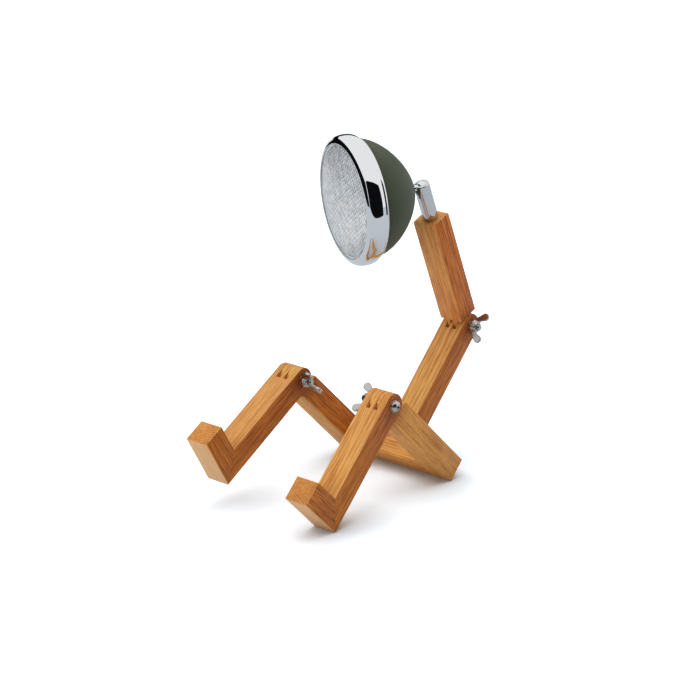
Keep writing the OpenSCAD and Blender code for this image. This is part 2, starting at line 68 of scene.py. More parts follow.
# A small way to write node trees: arithmetic on a socket adds Math nodes
class Socket:
    def __init__(self, graph, port):
        self.graph = graph
        self.port = port

    def math(self, operation, *others):
        return self.graph.arithmetic(operation, self, *others)

    def also(self, name):  # another output of the same node
        return Socket(self.graph, self.port.node.outputs[name])

    def __add__(self, other):
        return self.math("ADD", other)

    def __radd__(self, other):
        return self.graph.arithmetic("ADD", other, self)

    def __sub__(self, other):
        return self.math("SUBTRACT", other)

    def __rsub__(self, other):
        return self.graph.arithmetic("SUBTRACT", other, self)

    def __mul__(self, other):
        return self.math("MULTIPLY", other)

    def __rmul__(self, other):
        return self.graph.arithmetic("MULTIPLY", other, self)

    def __truediv__(self, other):
        return self.math("DIVIDE", other)

    def __rtruediv__(self, other):
        return self.graph.arithmetic("DIVIDE", other, self)

    def __pow__(self, other):
        return self.math("POWER", other)

    def __abs__(self):
        return self.math("ABSOLUTE")

    def rise(self, low, high):  # 0 at low, 1 at high, eased between
        return self.graph.node("ShaderNodeMapRange", {"interpolation_type": "SMOOTHSTEP"}, (self, low, high, 0, 1))


class Graph:
    def __init__(self, tree):
        self.tree = tree
        tree.nodes.clear()

    def node(self, kind, settings={}, inputs=(), out=0):
        made = self.tree.nodes.new(kind)
        for name, value in settings.items():
            setattr(made, name, value)
        pairs = inputs.items() if isinstance(inputs, dict) else enumerate(inputs)
        for key, value in pairs:
            target = made.inputs[key]
            if isinstance(value, Socket):
                self.tree.links.new(value.port, target)
            elif isinstance(target.default_value, float) or not hasattr(value, "__len__"):
                target.default_value = value
            else:
                colour = len(target.default_value) == 4 and len(value) == 3
                target.default_value = (*value, 1) if colour else value
        return Socket(self, made.outputs[out]) if len(made.outputs) else None

    def arithmetic(self, operation, *values):
        return self.node("ShaderNodeMath", {"operation": operation}, values)

    def parted(self, vector):
        x = self.node("ShaderNodeSeparateXYZ", {}, (vector,))
        return x, x.also("Y"), x.also("Z")

    def united(self, x, y, z=0.0):
        return self.node("ShaderNodeCombineXYZ", {}, (x, y, z))


class Finish(Graph):
    def __init__(self, name):
        self.material = bpy.data.materials.new(name)
        self.material.use_nodes = True
        super().__init__(self.material.node_tree)

    def place(self):
        return self.node("ShaderNodeTexCoord", {}, (), "Object")

    def kept(self, name, kind="Fac"):  # a value that the mesh carries
        return self.node("ShaderNodeAttribute", {"attribute_name": name}, (), kind)

    def scaled(self, vector, x, y, z):
        return self.node("ShaderNodeVectorMath", {"operation": "MULTIPLY"}, (vector, (x, y, z)))

    def shifted(self, vector, other):
        return self.node("ShaderNodeVectorMath", {"operation": "ADD"}, (vector, other))

    def noise(self, vector, scale, detail=2, roughness=0.5):
        return self.node("ShaderNodeTexNoise", {}, {
            "Vector": vector, "Scale": scale, "Detail": detail, "Roughness": roughness})

    def mixed(self, amount, first, second, blend="MIX"):
        settings = {"data_type": "RGBA", "blend_type": blend}
        return self.node("ShaderNodeMix", settings, {0: amount, 6: first, 7: second}, 2)

    def bumped(self, height, distance, strength=1.0):
        return self.node("ShaderNodeBump", {}, {"Strength": strength, "Distance": distance, "Height": height})

    def shade(self, inputs):
        return self.ended(self.node("ShaderNodeBsdfPrincipled", {}, inputs))

    def ended(self, shader):
        self.node("ShaderNodeOutputMaterial", {}, (shader,))
        return self.material


def oiledWood():
    wood = {"pale": (0.785, 0.422, 0.122), "deep": (0.50, 0.195, 0.042), "pore": (0.25, 0.075, 0.013),
            "redder": (0.85, 0.555, 0.30), "endGrain": (0.90, 0.76, 0.66), "darkerRoundPin": (0.74, 0.64, 0.56),
            "slot": (0.10, 0.055, 0.035), "rubbed": (0.80, 0.47, 0.18), "paintedSoleLight": (0.86, 0.55, 0.31),
            "ringPitch": 1.35 * mm, "ringUneven": 0.45 * mm, "wander": 3.4 * mm, "relief": 0.05 * mm,
            "halfWide": 11 * mm, "halfDeep": 10 * mm, "edge": 0.9 * mm}
    strands = {"wander": (90, 90, 16), "fibre": (1500, 1500, 75), "streak": (460, 460, 30),
               "broad": (130, 130, 14), "cloud": (24, 24, 9), "pore": (2900, 2900, 75)}
    bands = {"side": (10.55 * mm, 10.9 * mm), "cheek": (7 * mm, 24 * mm), "slotRound": (7.6 * mm, 9.5 * mm),
             "slotAcross": (10.3 * mm, 10.6 * mm), "slotFoot": (-22 * mm, -17 * mm), "slotTop": (-13 * mm, -10.5 * mm)}
    paint = Finish("oiledWood")
    place = paint.kept("beamPlace", "Vector")
    seed, tone, warm, heart, paintedSoleLight, ends, pinned = (
        paint.kept("beam" + name) for name in ("Seed", "Tone", "Warm", "HeartAndShade", "Bare", "End", "Pin"))
    x, y, z = paint.parted(place)
    grain = paint.shifted(place, paint.united(seed * 0.37, seed * 0.53, seed * 0.71))

    def strand(name, detail, roughness=0.5):
        return paint.noise(paint.scaled(grain, *strands[name]), 1, detail, roughness)

    # Growth rings round a pith that lies outside the beam, each ring a little wider or narrower than the last
    wander = strand("wander", 3) - 0.5
    pithX = (seed * 2.1).math("SINE") * 0.055
    pithY = (seed * 1.3).math("COSINE") * 0.03 + 0.055
    reach = ((x - pithX) ** 2 + (y - pithY) ** 2) ** 0.5 + wander * wood["wander"]
    uneven = reach + (reach * 900).math("SINE") * wood["ringUneven"]
    ring = (uneven / wood["ringPitch"]).math("FRACT")
    late = ring.rise(0.1, 0.8) * (1 - ring.rise(0.86, 1.0))

    fibre = strand("fibre", 3, 0.6)
    streak = strand("streak", 3, 0.6)
    broad = strand("broad", 2)
    cloud = strand("cloud", 2)
    pores = strand("pore", 1).rise(0.58, 0.68) * (1 - late * 0.7)
    figure = (late * 0.30 + streak * 1.10 + fibre * 1.10 + broad * 0.75 - 1.075).rise(0.10, 0.88)
    body = paint.mixed(pores * 0.55, paint.mixed(figure, wood["deep"], wood["pale"]), wood["pore"])

    # The beams' two sides show redder and livelier heartwood than their front, back and ends, and are also painted
    # darker: painted shade for the sides that the light reaches less
    onSide = abs(x).rise(*bands["side"])
    own = (seed * 5.7).math("SINE")
    tuned = paint.node("ShaderNodeHueSaturation", {}, {
        "Hue": 0.5 + (cloud - 0.5) * 0.022 + own * 0.004 - warm * 0.012, "Saturation": 1.02,
        "Value": (0.90 + cloud * 0.20 + (streak + fibre - 1.0) * onSide * heart * 0.8) * tone, "Color": body})
    tuned = paint.mixed(onSide * heart, tuned, wood["redder"], "MULTIPLY")
    tuned = paint.mixed(ends, tuned, wood["endGrain"], "MULTIPLY")
    # The sides are darker on the cheeks round a pin, which is at the origin of its beam
    away = (y * y + z * z) ** 0.5 + (streak - 0.5) * (9 * mm)
    cheek = pinned * onSide * (1 - away.rise(*bands["cheek"]))
    tuned = paint.mixed(cheek, tuned, wood["darkerRoundPin"], "MULTIPLY")
    # Painted shade: inside the hinge slots the end grain is painted dark towards the slot's foot, where the slot lies
    # in shade
    roundPin = (y * y + z.math("MAXIMUM", 0.0) ** 2) ** 0.5
    slot = pinned * (1 - roundPin.rise(*bands["slotRound"])) * (1 - abs(x).rise(*bands["slotAcross"]))
    slot = slot * z.rise(*bands["slotFoot"]) * (1 - z.rise(*bands["slotTop"]))
    tuned = paint.mixed(slot, tuned, wood["slot"], "MULTIPLY")
    # Arrises are rubbed paler, their nearness coming from the beam's own section
    arris = (wood["halfWide"] - abs(x)).math("MAXIMUM", wood["halfDeep"] - abs(y))
    rubbed = 1 - (arris + (streak - 0.5) * wood["edge"]).rise(0.12 * mm, wood["edge"])
    # Painted light: the sole face of a foot is painted paler, as if lit by light bounced up from the floor
    colour = paint.mixed(rubbed * 0.28, paint.mixed(paintedSoleLight * 0.6, tuned, wood["paintedSoleLight"]), wood["rubbed"])
    relief = fibre * 0.5 + late * 0.3 - pores * 0.9
    return paint.shade({
        "Base Color": colour, "Specular IOR Level": 0.30,
        "Roughness": 0.52 + pores * 0.18 - late * 0.05 - rubbed * 0.08 + (fibre - 0.5) * 0.12,
        "Normal": paint.bumped(relief, wood["relief"], 0.8)})


def plainWood():
    paint = Finish("dowelWood")
    streak = paint.noise(paint.scaled(paint.place(), 500, 500, 90), 1, 3)
    tone = paint.mixed(streak, (0.45, 0.26, 0.11), (0.62, 0.4, 0.2))
    return paint.shade({"Base Color": tone, "Roughness": 0.55 + streak * 0.1})


def plate(name, colour, roughness, grainScale, bump, dull=0.12):
    paint = Finish(name)
    coarse = paint.noise(paint.place(), grainScale * 0.08, 3)
    fine = paint.noise(paint.place(), grainScale, 2)
    tone = paint.mixed((coarse * 0.7 + fine * 0.3), tuple(c * (1 - dull) for c in colour), colour)
    return paint.shade({
        "Base Color": tone, "Metallic": 1.0, "Roughness": roughness + (coarse - 0.5) * roughness * 0.7,
        "Normal": paint.bumped(fine, bump)})


def chromePlate(name, share):
    chrome = {"colour": (0.76, 0.77, 0.79), "film": (0.68, 0.69, 0.71), "roughness": 0.03}
    paint = Finish(name)
    clean, filmed = (tuple(c * share for c in chrome[key]) for key in ("colour", "film"))
    smear = paint.noise(paint.scaled(paint.place(), 60, 60, 24), 1, 3)
    swirl = paint.noise(paint.place(), 1400, 2)
    film = smear.rise(0.55, 0.8)
    return paint.shade({
        "Base Color": paint.mixed(film * 0.25, clean, filmed), "Metallic": 1.0,
        "Roughness": chrome["roughness"] + film * 0.05 + swirl * 0.012,
        "Normal": paint.bumped(smear * 0.4 + swirl * 0.05, 0.01 * mm, 0.5)})


def olivePaint():
    olive = {"colour": (0.047, 0.062, 0.029), "dust": (0.16, 0.17, 0.12), "roughness": 0.50}
    paint = Finish("olivePaint")
    peel = paint.noise(paint.place(), 900, 3, 0.55)
    cloud = paint.noise(paint.place(), 45, 3)
    dust = paint.noise(paint.place(), 5200, 1).rise(0.70, 0.78)
    darker, paler = (tuple(c * share for c in olive["colour"]) for share in (0.92, 1.09))
    return paint.shade({
        "Base Color": paint.mixed(dust * 0.10, paint.mixed(cloud, darker, paler), olive["dust"]),
        "Roughness": olive["roughness"] + (cloud - 0.5) * 0.08 + dust * 0.1,
        "Specular IOR Level": 0.34, "Normal": paint.bumped(peel, 0.03 * mm, 0.5)})


def moulded(name, colour, roughness=0.5, scale=1500):
    paint = Finish(name)
    skin = paint.noise(paint.place(), scale, 3)
    cloud = paint.noise(paint.place(), scale * 0.05, 2)
    tone = paint.mixed(cloud, tuple(c * 0.85 for c in colour), tuple(min(1, c * 1.1 + 0.004) for c in colour))
    return paint.shade({
        "Base Color": tone, "Roughness": roughness + (skin - 0.5) * 0.14,
        "Normal": paint.bumped(skin, 0.03 * mm, 0.5)})


def lensGlass():
    glass = {"cell": 2.0 * mm, "wave": 0.5 * mm, "patterned": 43.5 * mm, "clear": (0.99, 0.995, 0.995),
             "shaded": (0.72, 0.73, 0.74), "paintedFacetShade": (0.12, 0.125, 0.13), "paintedFacetLight": (1.0, 1.0, 1.0)}
    paint = Finish("lensGlass")
    place = paint.kept("lensPlace", "Vector")
    inner = paint.kept("lensInner")
    x, y, _ = paint.parted(place)
    wave = (paint.noise(place, 130, 2) - 0.5) * glass["wave"]
    # Painted highlight and shade: the pressed diamonds, each with four facets painted lighter or darker as if lit
    # differently, and their valley lines painted darker
    across = (x + y + wave) / (2 * glass["cell"]) + 0.5
    along = (x - y + wave) / (2 * glass["cell"]) + 0.5
    u, v = across.math("FRACT") - 0.5, along.math("FRACT") - 0.5
    own = paint.node("ShaderNodeTexWhiteNoise", {}, {"Vector": paint.united(across.math("FLOOR"), along.math("FLOOR"))})
    facet = (u - v).rise(-0.25, 0.25) * 0.60 + (u + v).rise(-0.3, 0.3) * 0.2 + own * 0.55 - 0.12
    valley = 1 - (0.5 - abs(u)).math("MINIMUM", 0.5 - abs(v)).rise(0.0, 0.13)
    outward = ((x * x + y * y) ** 0.5).rise(glass["patterned"], glass["patterned"] + 0.5 * mm)
    inside = inner * (1 - outward)
    tone = (1 - inside) + inside * (facet * (1 - valley * 0.8))
    clear = paint.node("ShaderNodeBsdfPrincipled", {}, {
        "Base Color": paint.mixed(tone, glass["shaded"], glass["clear"]),
        "Roughness": 0.20 - inside * 0.16 + valley * inside * 0.1, "IOR": 1.47, "Transmission Weight": 1.0})
    # A grey diffuse layer over the pattern, carrying the same painted facet light and shade
    frosted = paint.node("ShaderNodeBsdfPrincipled", {}, {
        "Base Color": paint.mixed(facet * (1 - valley * 0.6), glass["paintedFacetShade"], glass["paintedFacetLight"]),
        "Roughness": 0.55})
    return paint.ended(paint.node("ShaderNodeMixShader", {}, (inside * (0.42 + valley * 0.30), clear, frosted)))


def boardWithTraces():
    paint = Finish("boardGreen")
    cells = paint.node("ShaderNodeTexVoronoi", {"distance": "MANHATTAN", "feature": "DISTANCE_TO_EDGE"}, {
        "Vector": paint.place(), "Scale": 420})
    trace = 1 - cells.rise(0.02, 0.05)
    tone = paint.mixed(trace * 0.6, (0.02, 0.12, 0.05), (0.06, 0.24, 0.1))
    return paint.shade({"Base Color": tone, "Roughness": 0.35 + trace * 0.1})


finishes = {
    "wood": oiledWood(),
    "dowel_wood": plainWood(),
    "steel": plate("brightZinc", (0.56, 0.54, 0.52), 0.24, 2600, 0.015 * mm),
    "brass": plate("brass", (0.72, 0.5, 0.2), 0.3, 2200, 0.015 * mm),
    "chrome": chromePlate("chromePlate", 1.0),
    "nylon": moulded("nylon", (0.75, 0.72, 0.62)),
    "green_paint": olivePaint(),
    "rubber": moulded("rubber", (0.03, 0.03, 0.03), 0.75),
    "lens_glass": lensGlass(),
    "bright_aluminium": plate("brightAluminium", (0.84, 0.845, 0.85), 0.16, 900, 0.02 * mm, 0.05),
    "board_white": moulded("boardWhite", (0.82, 0.82, 0.8), 0.4),
    "phosphor": moulded("phosphor", (0.85, 0.62, 0.12), 0.3, 900),
    "board_green": boardWithTraces(),
    "black_plastic": moulded("blackPlastic", (0.022, 0.022, 0.023), 0.42, 2200),
    "lead_red": moulded("leadRed", (0.45, 0.03, 0.02), 0.45),
}
# Painted shade: a darker copy of the chrome, for the neck tube
drawnChrome = chromePlate("drawnChrome", 0.80)
for node in frame["nodes"].values():
    for slot in node.material_slots:
        slot.material = finishes[slot.material.name.split(".")[0]]
print("finishes:", len(finishes))


def frameAt(origin, up, side):
    z = Vector(up).normalized()
    x = (Vector(side) - z * z.dot(Vector(side))).normalized()
    made = Matrix((x, z.cross(x), z)).transposed().to_4x4()
    made.translation = Vector(origin)
    return made


# Where the beams, the neck and the head stand at rest is read from the joints and the mounts
side = Vector((1, 0, 0))
torsoUp = -Vector(mounts["seat"]["axis"])
thighBack = -side.cross(torsoUp)  # from a knee towards the hip
neckUp = Vector(joints["neck_swivel"]["axis"])
pinOf = {name: joints[joint]["pos_m"] for name, joint in (
    ("left", "left_knee"), ("right", "right_knee"), ("waist", "waist_fold"))}
shinUp = {leg: -Vector(mounts[leg + "_sole"]["axis"]) for leg in ("left", "right")}
neckFrame = frameAt(joints["neck_swivel"]["pos_m"], neckUp, joints["head_nod"]["axis"])
headFrame = frameAt(joints["head_roll"]["pos_m"], joints["head_roll"]["axis"], joints["head_nod"]["axis"])
inletFrame = frameAt(mounts["cord_inlet"]["pos_m"], mounts["cord_inlet"]["axis"], headFrame.col[2].to_3d())


def linked(name, data):
    made = bpy.data.objects.new(name, data)
    bpy.context.scene.collection.objects.link(made)
    return made


def asPiece(name, mesh, slot, node, place=None):
    # The piece stands for the node and rides on its body
    if place:
        mesh.transform(place)
    piece = linked(name, mesh)
    mesh.materials.clear()
    mesh.materials.append(finishes[slot])
    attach(piece, bodyOf[node])
    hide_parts(node)
    return piece


def plainMesh(holder):
    # What the holder's modifiers make of it, as a mesh of its own
    evaluated = holder.evaluated_get(bpy.context.evaluated_depsgraph_get())
    made = bpy.data.meshes.new_from_object(evaluated)
    bpy.data.objects.remove(holder)
    return made


def modified(mesh, *modifiers):
    holder = linked("holder", mesh)
    for kind, settings in modifiers:
        modifier = holder.modifiers.new(kind.title(), kind)
        for name, value in settings.items():
            setattr(modifier, name, value)
    return plainMesh(holder)


def grown(tree, sizes):
    # Runs a Geometry Nodes tree with its inputs set by identifier
    holder = linked("grown", bpy.data.meshes.new("seed"))
    modifier = holder.modifiers.new("Grow", "NODES")
    modifier.node_group = tree
    for item in tree.interface.items_tree:
        if item.item_type == "SOCKET" and item.in_out == "INPUT" and item.name in sizes:
            modifier[item.identifier] = sizes[item.name]
    return plainMesh(holder)


def cutBy(mesh, cutter, operation="DIFFERENCE"):
    tool = linked("tool", cutter)
    made = modified(mesh, ("BOOLEAN", {"operation": operation, "object": tool, "solver": "EXACT"}))
    bpy.data.objects.remove(tool)
    return made


def meshFrom(points, faces):
    mesh = bpy.data.meshes.new("made")
    mesh.from_pydata(points, [], faces)
    mesh.update()
    return mesh


def joined(*meshes):
    merged = bmesh.new()
    for mesh in meshes:
        merged.from_mesh(mesh)
    made = bpy.data.meshes.new("joined")
    merged.to_mesh(made)
    merged.free()
    return made


def tidied(mesh, gap=0.002 * mm):
    # Doubles merged, then faces turned outwards
    shape = bmesh.new()
    shape.from_mesh(mesh)
    bmesh.ops.remove_doubles(shape, verts=shape.verts, dist=gap)
    bmesh.ops.recalc_face_normals(shape, faces=shape.faces)
    shape.to_mesh(mesh)
    shape.free()
    return mesh


def smoothed(mesh, angle):
    mesh.polygons.foreach_set("use_smooth", [True] * len(mesh.polygons))
    mesh.set_sharp_from_angle(angle=math.radians(angle))
    return mesh


def turned(profile, steps):
    # Closed solid of revolution about Z from a closed outline of (radius, height) in millimetres
    points, faces, rings = [], [], []
    for radius, height in profile:
        if radius < 1e-6:
            rings.append([len(points)] * steps)
            points.append((0, 0, height * mm))
        else:
            rings.append(list(range(len(points), len(points) + steps)))
            for i in range(steps):
                angle = 2 * math.pi * i / steps
                points.append((radius * mm * math.cos(angle), radius * mm * math.sin(angle), height * mm))
    for here, after in zip(rings, rings[1:] + rings[:1]):
        for i in range(steps):
            k = (i + 1) % steps
            corners = list(dict.fromkeys((here[i], here[k], after[k], after[i])))
            if len(corners) > 2:
                faces.append(corners)
    return tidied(meshFrom(points, faces))


def slab(near, far):
    # Solid between two outlines that have as many points
    count = len(near)
    caps = [tuple(range(count)), tuple(range(2 * count - 1, count - 1, -1))]
    walls = [(i, i + count, (i + 1) % count + count, (i + 1) % count) for i in range(count)]
    return tidied(meshFrom([*near, *far], caps + walls))


def arc(cx, cy, radius, start, end, steps):
    turns = [math.radians(start + (end - start) * i / steps) for i in range(steps + 1)]
    return [(cx + radius * math.cos(a), cy + radius * math.sin(a)) for a in turns]


def arcAlong(height, radius, bend, start, end, steps):
    # The same arc for a ring's section, with its turns counted from the ring's own axis
    return [(r, z) for z, r in arc(height, radius, bend, start, end, steps)]


def cadCopy(node):
    source = frame["nodes"][node].data
    mesh = meshFrom([v.co[:] for v in source.vertices], [p.vertices[:] for p in source.polygons])
    tidied(mesh, 0.004 * mm)
    shape = bmesh.new()
    shape.from_mesh(mesh)
    bmesh.ops.dissolve_limit(shape, angle_limit=math.radians(0.6), verts=shape.verts, edges=shape.edges)
    shape.to_mesh(mesh)
    shape.free()
    return mesh


def eased(mesh, width, weightAt=None, angle=30):
    # Rounds the sharp edges of a solid; weightAt(middle of an edge) gives a share of the width
    shape = bmesh.new()
    shape.from_mesh(mesh)
    layer = shape.edges.layers.float.new("bevel_weight_edge")
    for edge in shape.edges:
        if len(edge.link_faces) == 2 and edge.calc_face_angle(0) > math.radians(angle):
            middle = (edge.verts[0].co + edge.verts[1].co) / 2
            edge[layer] = weightAt(middle) if weightAt else 1
    shape.to_mesh(mesh)
    shape.free()
    return modified(mesh, ("BEVEL", {"width": width, "segments": 2, "limit_method": "WEIGHT",
                                     "use_clamp_overlap": False, "miter_outer": "MITER_ARC"}))


def keepOn(mesh, name, values, kind="FLOAT"):
    field = "vector" if kind == "FLOAT_VECTOR" else "value"
    mesh.attributes.new(name, kind, "POINT").data.foreach_set(field, values)


view = {"azimuth": 41.06, "elevation": 18.13, "distance": 1.8269, "target": (0, -0.0702, 0.1246), "lens": 123.41}


def towards(azimuth, elevation=0):
    a, e = math.radians(azimuth), math.radians(elevation)
    return Vector((math.sin(a) * math.cos(e), -math.cos(a) * math.cos(e), math.sin(e)))


def addCamera():
    camera = linked("Camera", bpy.data.cameras.new("Camera"))
    back = towards(view["azimuth"], view["elevation"])
    camera.location = Vector(view["target"]) + back * view["distance"]
    camera.rotation_euler = back.to_track_quat("Z", "Y").to_euler()
    camera.data.lens = view["lens"]
    camera.data.clip_end = 20
    bpy.context.scene.camera = camera


def addFloor():
    # The camera and the glass see it white, mirrors a little darker as a painted shade, and diffuse light its plain
    # colour
    floor = {"size": 9, "colour": (0.785, 0.80, 0.81), "inMetal": (0.62, 0.66, 0.70),
             "seen": (1.30, 1.41, 1.50), "contact": (0.48, 0.56, 0.64), "reach": 0.05}
    half = floor["size"] / 2
    mesh = meshFrom([(-half, -half, 0), (half, -half, 0), (half, half, 0), (-half, half, 0)], [(0, 1, 2, 3)])
    plane = linked("floor", mesh)
    paint = Finish("paleFloor")
    path = paint.node("ShaderNodeLightPath", {}, (), "Is Camera Ray")
    direct = path.math("MAXIMUM", path.also("Is Transmission Ray"))
    # Painted shadow: it is darker where the object stands close over it
    clear = paint.node("ShaderNodeAmbientOcclusion", {"samples": 8}, {"Distance": floor["reach"]}, "AO")
    seen = paint.mixed(clear, floor["contact"], floor["seen"])
    tone = paint.mixed(direct, paint.mixed(path.also("Is Glossy Ray"), floor["colour"], floor["inMetal"]), seen)
    mesh.materials.append(paint.ended(paint.node("ShaderNodeBsdfDiffuse", {}, {"Color": tone})))


def addWorld():
    level = {"seen": 1.0, "light": 0.52, "dim": 0.16, "dimBearing": 68}
    world = bpy.data.worlds.new("studio")
    bpy.context.scene.world = world
    world.use_nodes = True
    graph = Graph(world.node_tree)
    path = graph.node("ShaderNodeLightPath", {}, (), "Is Camera Ray")
    seen = path.math("MAXIMUM", path.also("Is Glossy Ray")).math("MAXIMUM", path.also("Is Transmission Ray"))
    # The room is dim on the side where the black cloth hangs
    facing = graph.node("ShaderNodeVectorMath", {"operation": "DOT_PRODUCT"}, (
        graph.node("ShaderNodeTexCoord"), towards(level["dimBearing"])), "Value")
    light = level["light"] + facing.rise(0.1, 0.75) * (level["dim"] - level["light"])
    strength = seen * (level["seen"] - light) + light
    sky = graph.node("ShaderNodeBackground", {}, {"Color": (1, 1, 1), "Strength": strength})
    graph.node("ShaderNodeOutputWorld", {}, (sky,))


def addSun(name, azimuth, elevation, strength, spread):
    lamp = linked(name, bpy.data.lights.new(name, "SUN"))
    lamp.data.energy = strength
    lamp.data.angle = math.radians(spread)
    lamp.rotation_euler = towards(azimuth, elevation).to_track_quat("Z", "Y").to_euler()
    lamp.visible_glossy = False  # metals mirror the white room instead


def addCard(name, bearing, away, across, low, high):
    # A dark upright card that only mirrors see, such as the black cloth round the camera's opening
    middle = towards(bearing) * away + Vector(view["target"]) * Vector((1, 1, 0))
    along = towards(bearing + 90)
    foot = middle + Vector((0, 0, low))
    left, right = foot + along * across[0], foot + along * across[1]
    up = Vector((0, 0, high - low))
    mesh = meshFrom([left, right, right + up, left + up], [(0, 1, 2, 3)])
    card = linked(name, mesh)
    paint = Finish(name)
    mesh.materials.append(paint.ended(paint.node("ShaderNodeBsdfDiffuse", {}, {"Color": (0.006, 0.006, 0.007)})))
    card.visible_camera = card.visible_diffuse = card.visible_shadow = card.visible_transmission = False


suns = {"key": {"azimuth": -60, "elevation": 76, "strength": 1.75, "spread": 85},
        "front": {"azimuth": -15, "elevation": 4, "strength": 0.9, "spread": 80}}
cards = {"blackCloth": {"bearing": 55, "away": 0.62, "across": (-1.15, 0.72), "low": 0.0, "high": 0.80},
         "darkRoom": {"bearing": -55, "away": 0.85, "across": (-1.2, 0.75), "low": 0.0, "high": 0.60},
         "darkBack": {"bearing": 221, "away": 1.6, "across": (-1.3, 1.3), "low": 0.35, "high": 0.75}}
bpy.context.scene.view_settings.view_transform = "Standard"
addCamera()
addFloor()
addWorld()
for name, sun in suns.items():
    addSun(name, **sun)
for name, card in cards.items():
    addCard(name, **card)
print("camera, floor and light ready")


limb = {"ease": 0.55 * mm, "halfDeep": 10 * mm, "pinHole": 3.2 * mm, "nearPin": 0.35, "crisp": 0.12,
        "sole": -98 * mm, "mitreTop": -80 * mm, "sawn": -36 * mm, "near": 0.4 * mm}
beamLooks = {
    "left_thigh": {"seed": 1.0, "tone": 1.16, "heart": 0.30}, "right_thigh": {"seed": 2.3, "tone": 1.06},
    "left_shin": {"seed": 5.1, "tone": 1.02}, "right_shin": {"seed": 6.4, "tone": 0.97},
    "left_foot": {"seed": 8.7, "tone": 0.94}, "right_foot": {"seed": 10.0, "tone": 1.0},
    "lower_torso": {"seed": 9.4, "tone": 1.04}, "upper_torso": {"seed": 12.6, "tone": 1.11, "warm": 1.0},
    "hip_bar": {"seed": 15.2, "tone": 1.05}}


# How far an arris is eased, as a share: less round a pin, and crisp where a mitre is glued
def atPin(p):
    return limb["nearPin"] if p.y * p.y + p.z * p.z < limb["pinHole"] ** 2 else 1


def atMitre(p):
    return limb["crisp"] if abs(p.z - limb["sole"] + p.y) < limb["near"] and p.z < limb["mitreTop"] else atPin(p)


def inFoot(p):
    return limb["crisp"] if min(abs(p.y - p.z), abs(p.y + p.z)) < limb["near"] else 1


def beam(name, place, eases=lambda p: 1, sawnFoot=False):
    # A beam's own copy, with eased arrises and what its grain needs kept on its points
    look = beamLooks[name]
    back = place.inverted()
    mesh = eased(cadCopy(name), limb["ease"], lambda middle: eases(back @ middle))
    smoothed(mesh, 30)
    points = [back @ v.co for v in mesh.vertices]
    keepOn(mesh, "beamPlace", [c for p in points for c in p], "FLOAT_VECTOR")
    constant = {"Seed": look["seed"], "Tone": look["tone"], "HeartAndShade": look.get("heart", 1.0),
                "Warm": look.get("warm", 0.0), "Pin": 0.0 if name.endswith(("foot", "bar")) else 1.0}
    for key, value in constant.items():
        keepOn(mesh, "beam" + key, [value] * len(points))
    keepOn(mesh, "beamEnd", [float(sawnFoot and abs(p.z - limb["sawn"]) < 0.05 * mm) for p in points])
    keepOn(mesh, "beamBare", [float(sawnFoot and p.y > limb["halfDeep"] - 0.1 * mm) for p in points])
    return asPiece(name + "_wood", mesh, "wood", name)


for leg in ("left", "right"):
    knee = pinOf[leg]
    beam(leg + "_thigh", frameAt(knee, thighBack, side), atPin)
    shinFrame = frameAt(knee, shinUp[leg], side)
    beam(leg + "_shin", shinFrame, atMitre)
    soleMiddle = shinFrame @ Vector((0, 0, limb["sole"]))
    beam(leg + "_foot", frameAt(soleMiddle, shinFrame.col[1].to_3d(), side), inFoot, True)
beam("lower_torso", frameAt(pinOf["waist"], torsoUp, side), atPin)
beam("upper_torso", frameAt(pinOf["waist"], neckUp, side), atPin)
hipMiddle = torsoUp * limb["halfDeep"] - thighBack * limb["halfDeep"]
beam("hip_bar", frameAt(hipMiddle, side, torsoUp))
print("wood done")


# Lengths in millimetres from here on; a pivot has its head towards +Z and its beams' middle at the origin
pivot = {"screw": 5.0, "headWide": 9.5, "headHigh": 3.68, "washer": 10.0, "washerThick": 1.0, "beam": 22.0,
         "nutHigh": 6.0, "nutWide": 11.0, "proud": 2.4, "pitch": 0.8, "span": 26.0, "wingHigh": 13.0, "wingThick": 2.2,
         "ear": 6.5, "recessDeep": 2.3, "recessTurn": 20}
pivotSeat = pivot["beam"] / 2 + pivot["washerThick"]
pivots = {"left_knee": {"pin": pinOf["left"], "facing": 1, "lean": shinUp["left"], "wingTurn": 0},
          "right_knee": {"pin": pinOf["right"], "facing": -1, "lean": shinUp["right"], "wingTurn": 82},
          "waist": {"pin": pinOf["waist"], "facing": -1, "lean": neckUp, "wingTurn": 55}}


def begunTree(name, floats, integers=()):
    # A Geometry Nodes tree with its named sizes, and the socket of the first of them
    tree = bpy.data.node_groups.new(name, "GeometryNodeTree")
    for kind, sizes in (("Float", floats), ("Int", integers)):
        for label, start in sizes:
            tree.interface.new_socket(name=label, in_out="INPUT", socket_type="NodeSocket" + kind).default_value = start
    tree.interface.new_socket(name="Finish", in_out="INPUT", socket_type="NodeSocketMaterial")
    tree.interface.new_socket(name="Geometry", in_out="OUTPUT", socket_type="NodeSocketGeometry")
    graph = Graph(tree)
    return graph, graph.node("NodeGroupInput")


def endedTree(graph, shape, finish):
    real = graph.node("GeometryNodeRealizeInstances", {}, (shape,))
    done = graph.node("GeometryNodeSetMaterial", {}, {"Geometry": real, "Material": finish})
    graph.tree.links.new(done.port, graph.tree.nodes.new("NodeGroupOutput").inputs[0])
    return graph.tree


